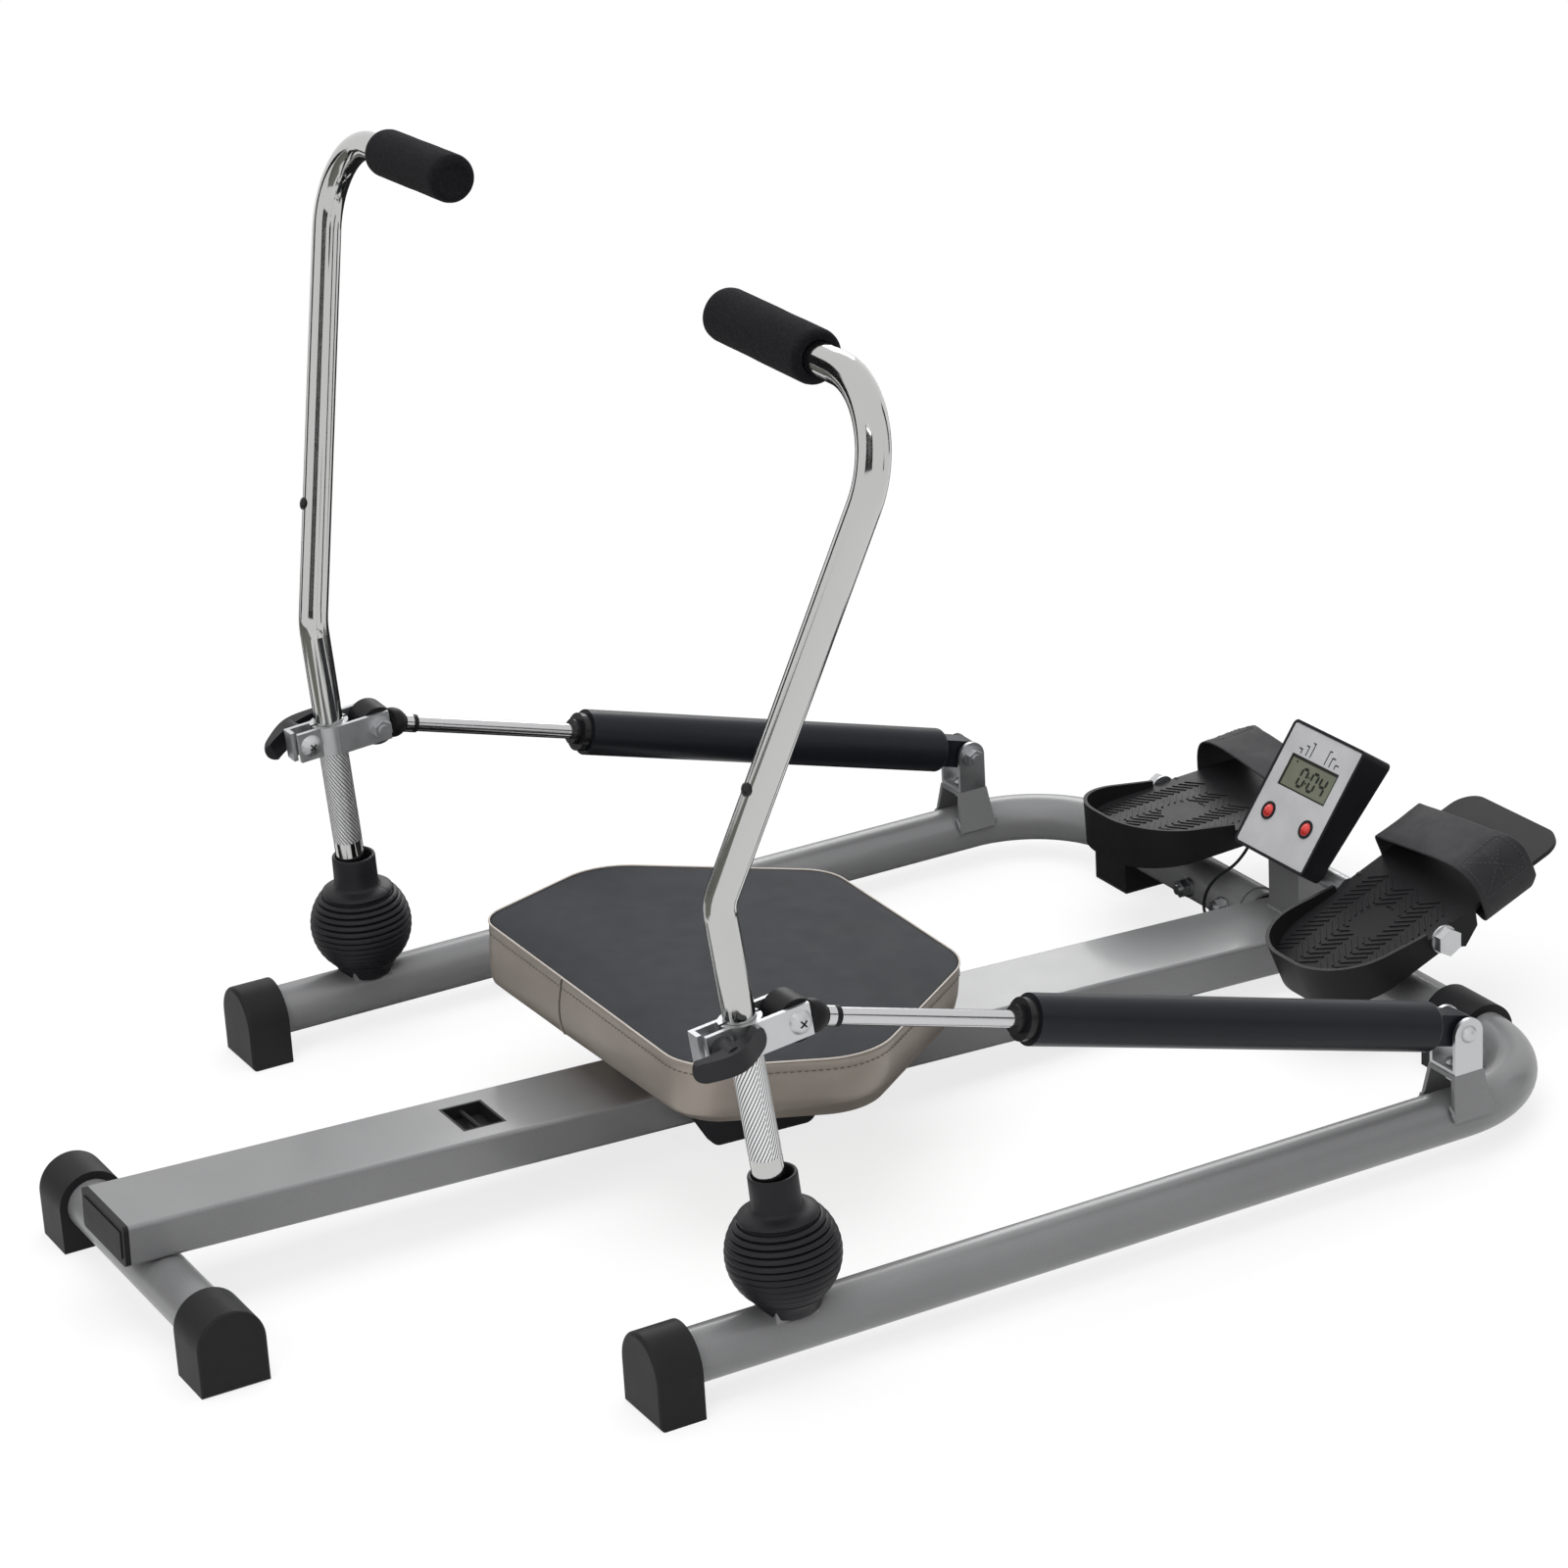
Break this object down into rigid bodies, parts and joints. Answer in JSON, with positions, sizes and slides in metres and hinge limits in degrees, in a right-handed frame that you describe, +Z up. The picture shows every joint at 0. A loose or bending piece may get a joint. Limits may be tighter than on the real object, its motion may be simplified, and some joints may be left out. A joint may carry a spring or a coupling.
{
  "type": "hydraulic rowing machine",
  "caption": "Hydraulic rowing machine: sloping middle beam with a sliding seat, swinging arms on ball-like joints damped by cylinders, tilting pedals and a small console.",
  "frame": {"origin": "middle of the footprint, on the floor", "axes": "+Z up, +Y towards the pedals, +X to the rower's right"},
  "size_m": [0.8636, 1.1216, 0.7064],
  "materials": {
    "grey_paint": "satin grey enamel",
    "foot_plastic": "moulded black",
    "zinc_steel": "bright zinc plate",
    "console_plastic": "fine black grain",
    "silver_plate": "satin silver",
    "lcd_glass": "grey-green liquid crystal display",
    "circuit_board": "green board",
    "cable_sheath": "smooth black",
    "soft_rubber": "black",
    "chrome": "bright plated",
    "seat_vinyl": "black vinyl top with a bronze band",
    "seat_wood": "plywood",
    "carriage_plastic": "dark grey moulding",
    "roller_nylon": "white nylon",
    "grip_foam": "closed-cell foam",
    "knob_plastic": "semi-gloss black",
    "black_paint": "satin black",
    "gland_plastic": "black",
    "pedal_plastic": "moulded black",
    "strap_web": "black woven strap",
    "red_plastic": "red",
    "boot_rubber": "ribbed black rubber"
  },
  "bodies": {
    "frame": {"main_beam": "grey_paint", "rear_cross_tube": "grey_paint", "rear_feet": "foot_plastic", "left_rail": "grey_paint", "right_rail": "grey_paint", "rail_feet": "foot_plastic", "front_feet": "foot_plastic", "beam_plugs": "foot_plastic", "frame_fasteners": "zinc_steel", "sensor_insert": "foot_plastic", "console_post": "grey_paint", "console_housing": "console_plastic", "console_face": "silver_plate", "display_window": "lcd_glass", "console_board": "circuit_board", "console_screws": "zinc_steel", "sensor_cable": "cable_sheath", "cable_grommets": "soft_rubber", "pedal_axle": "chrome", "axle_fittings": "zinc_steel", "joint_bases": "grey_paint"},
    "seat": {"seat_cushion": "seat_vinyl", "seat_board": "seat_wood", "seat_carriage": "carriage_plastic", "roller_axles": "zinc_steel"},
    "rear_roller_spool": {"rear_roller": "roller_nylon"},
    "front_roller_spool": {"front_roller": "roller_nylon"},
    "under_roller_spool": {"under_roller": "roller_nylon"},
    "left_joint_spider": {"left_arm_spider": "zinc_steel", "left_boot": "boot_rubber"},
    "left_arm": {"left_arm": "chrome", "left_grip": "grip_foam", "left_clamp_halves": "zinc_steel", "left_arm_fasteners": "zinc_steel"},
    "left_knob": {"left_clamp_knob": "knob_plastic"},
    "left_cylinder_barrel": {"left_barrel": "black_paint", "left_gland": "gland_plastic"},
    "left_cylinder_rod": {"left_piston_rod": "chrome", "left_rod_eye": "soft_rubber"},
    "left_clevis_set": {"left_clevis": "zinc_steel", "left_pivot_bolt": "zinc_steel"},
    "left_pedal_set": {"left_pedal": "pedal_plastic", "left_strap": "strap_web"},
    "left_button_cap": {"left_button": "red_plastic"},
    "right_joint_spider": {"right_arm_spider": "zinc_steel", "right_boot": "boot_rubber"},
    "right_arm": {"right_arm": "chrome", "right_grip": "grip_foam", "right_clamp_halves": "zinc_steel", "right_arm_fasteners": "zinc_steel"},
    "right_knob": {"right_clamp_knob": "knob_plastic"},
    "right_cylinder_barrel": {"right_barrel": "black_paint", "right_gland": "gland_plastic"},
    "right_cylinder_rod": {"right_piston_rod": "chrome", "right_rod_eye": "soft_rubber"},
    "right_clevis_set": {"right_clevis": "zinc_steel", "right_pivot_bolt": "zinc_steel"},
    "right_pedal_set": {"right_pedal": "pedal_plastic", "right_strap": "strap_web"},
    "right_button_cap": {"right_button": "red_plastic"}
  },
  "joints": [
    {"name": "right_arm_spread", "type": "hinge", "parent": "frame", "child": "right_joint_spider", "pos_m": [0.33503, -0.21218, 0.088], "axis": [0, 0.9998, 0.0219], "range_deg": [-8, 10]},
    {"name": "right_arm_sweep", "type": "hinge", "parent": "right_joint_spider", "child": "right_arm", "pos_m": [0.33503, -0.21218, 0.088], "axis": [-0.9996, 0.0007, -0.0297], "range_deg": [-8, 32], "deforming": ["right_boot"]},
    {"name": "right_barrel_pitch", "type": "hinge", "parent": "right_joint_spider", "child": "right_cylinder_barrel", "pos_m": [0.33503, 0.33512, 0.1], "axis": [-0.9996, 0.0007, -0.0297], "range_deg": [-0.584, 0.296]},
    {"name": "right_rod_slide", "type": "slide", "parent": "right_cylinder_barrel", "child": "right_cylinder_rod", "axis": [-0.0088, -0.9613, 0.2752], "range_m": [-0.09019, 0.0233]},
    {"name": "right_clevis_swivel", "type": "hinge", "parent": "frame", "child": "right_clevis_set", "pos_m": [0.33503, 0.33512, 0.1], "axis": [0, 0, 1], "range_deg": [-2.42, 3]},
    {"name": "right_knob_turn", "type": "hinge", "parent": "right_arm", "child": "right_knob", "pos_m": [0.34012, -0.24995, 0.24607], "axis": [0.9996, -0.0007, 0.0297], "continuous": true},
    {"name": "right_pedal_tilt", "type": "hinge", "parent": "frame", "child": "right_pedal_set", "pos_m": [0.12703, 0.43512, 0.0895], "axis": [1, 0, 0], "range_deg": [-42, 23]},
    {"name": "right_button_press", "type": "slide", "parent": "frame", "child": "right_button_cap", "axis": [0, 0.8211, -0.5707], "range_m": [0, 0.001], "stiffness_N_per_m": 400, "springref_m": -0.0002},
    {"name": "left_arm_spread", "type": "hinge", "parent": "frame", "child": "left_joint_spider", "pos_m": [-0.33497, -0.21218, 0.088], "axis": [0, -0.9998, -0.0219], "range_deg": [-8, 10]},
    {"name": "left_arm_sweep", "type": "hinge", "parent": "left_joint_spider", "child": "left_arm", "pos_m": [-0.33497, -0.21218, 0.088], "axis": [-0.9996, -0.0007, 0.0297], "range_deg": [-8, 32], "deforming": ["left_boot"]},
    {"name": "left_barrel_pitch", "type": "hinge", "parent": "left_joint_spider", "child": "left_cylinder_barrel", "pos_m": [-0.33497, 0.33512, 0.1], "axis": [-0.9996, -0.0007, 0.0297], "range_deg": [-0.94, 0.38]},
    {"name": "left_rod_slide", "type": "slide", "parent": "left_cylinder_barrel", "child": "left_cylinder_rod", "axis": [0.0088, -0.9609, 0.2768], "range_m": [-0.09081, 0.02345]},
    {"name": "left_clevis_swivel", "type": "hinge", "parent": "frame", "child": "left_clevis_set", "pos_m": [-0.33497, 0.33512, 0.1], "axis": [0, 0, -1], "range_deg": [-2.42, 3]},
    {"name": "left_knob_turn", "type": "hinge", "parent": "left_arm", "child": "left_knob", "pos_m": [-0.34002, -0.24442, 0.24729], "axis": [0.9996, 0.0007, -0.0297], "continuous": true},
    {"name": "left_pedal_tilt", "type": "hinge", "parent": "frame", "child": "left_pedal_set", "pos_m": [-0.12697, 0.43512, 0.0895], "axis": [1, 0, 0], "range_deg": [-23, 42]},
    {"name": "left_button_press", "type": "slide", "parent": "frame", "child": "left_button_cap", "axis": [0, 0.8211, -0.5707], "range_m": [0, 0.001], "stiffness_N_per_m": 400, "springref_m": -0.0002},
    {"name": "seat_slide", "type": "slide", "parent": "frame", "child": "seat", "axis": [0, 0.9993, -0.0365], "range_m": [-0.34, 0.23]},
    {"name": "rear_roller_spin", "type": "hinge", "parent": "seat", "child": "rear_roller_spool", "pos_m": [0.00003, -0.1107, 0.0798], "axis": [-1, 0, 0], "range_deg": [-1503.51, 1018.69]},
    {"name": "front_roller_spin", "type": "hinge", "parent": "seat", "child": "front_roller_spool", "pos_m": [0.00003, -0.03875, 0.07717], "axis": [-1, 0, 0], "range_deg": [-1503.51, 1018.69]},
    {"name": "under_roller_spin", "type": "hinge", "parent": "seat", "child": "under_roller_spool", "pos_m": [0.00003, -0.07652, 0.02922], "axis": [1, 0, 0], "range_deg": [-3097.15, 2096.75]}
  ],
  "couplings": [
    {"joint": "right_barrel_pitch", "follows": "right_arm_sweep", "ratio": -0.012},
    {"joint": "right_rod_slide", "follows": "right_arm_sweep", "m_per_rad": -0.1597},
    {"joint": "right_clevis_swivel", "follows": "right_arm_spread", "ratio": 0.29},
    {"joint": "left_barrel_pitch", "follows": "left_arm_sweep", "ratio": -0.023},
    {"joint": "left_rod_slide", "follows": "left_arm_sweep", "m_per_rad": -0.1608},
    {"joint": "left_clevis_swivel", "follows": "left_arm_spread", "ratio": 0.29},
    {"joint": "rear_roller_spin", "follows": "seat_slide", "rad_per_m": 76.923},
    {"joint": "front_roller_spin", "follows": "seat_slide", "rad_per_m": 76.923},
    {"joint": "under_roller_spin", "follows": "seat_slide", "rad_per_m": 158.73}
  ]
}
